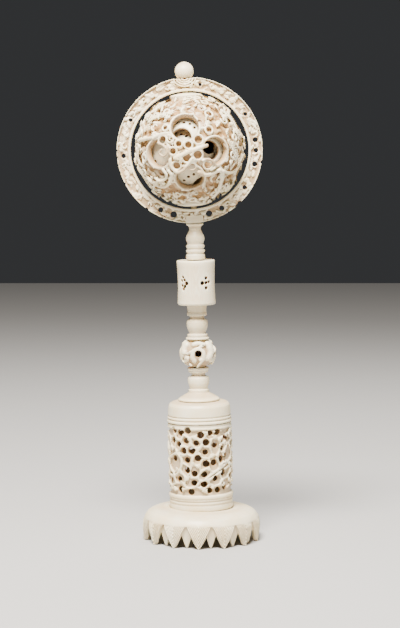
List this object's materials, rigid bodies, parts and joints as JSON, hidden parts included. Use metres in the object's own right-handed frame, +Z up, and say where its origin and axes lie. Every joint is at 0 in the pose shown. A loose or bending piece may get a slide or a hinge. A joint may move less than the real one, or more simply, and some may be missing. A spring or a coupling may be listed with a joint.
{
  "type": "puzzle ball on stand",
  "caption": "Carved ivory puzzle ball of nested loose shells that turns on a pivot inside an openwork ring, on a turned and pierced stand with a leaf-edged foot.",
  "frame": {"origin": "on the ground, straight below the centre of the ring that holds the ball", "axes": "+Z up; -Y is the front, the side the picture shows, so the ring lies in the XZ plane; +X is the viewer's right. The tower leans 1.35 degrees and the ring 4 degrees towards -X."},
  "size_m": [0.0634, 0.0516, 0.2094],
  "materials": {
    "pale_ivory": "satin",
    "shaded_ivory": "satin"
  },
  "bodies": {
    "stand": {"petal_base": "pale_ivory", "pierced_cylinder": "pale_ivory", "cylinder_cap": "pale_ivory", "lower_stem": "pale_ivory", "openwork_knop": "pale_ivory", "middle_stem": "shaded_ivory", "drum": "pale_ivory", "upper_stem": "pale_ivory", "wheel_ring": "pale_ivory", "finial": "pale_ivory", "lower_pivot": "shaded_ivory"},
    "ball": {"puzzle_ball": "pale_ivory", "inner_ball_2": "shaded_ivory", "inner_ball_3": "shaded_ivory"}
  },
  "joints": [
    {"name": "ball_swivel", "type": "hinge", "parent": "stand", "child": "ball", "pos_m": [-0.00001, 0, 0.17114], "axis": [-0.0698, 0, 0.9976], "continuous": true}
  ]
}
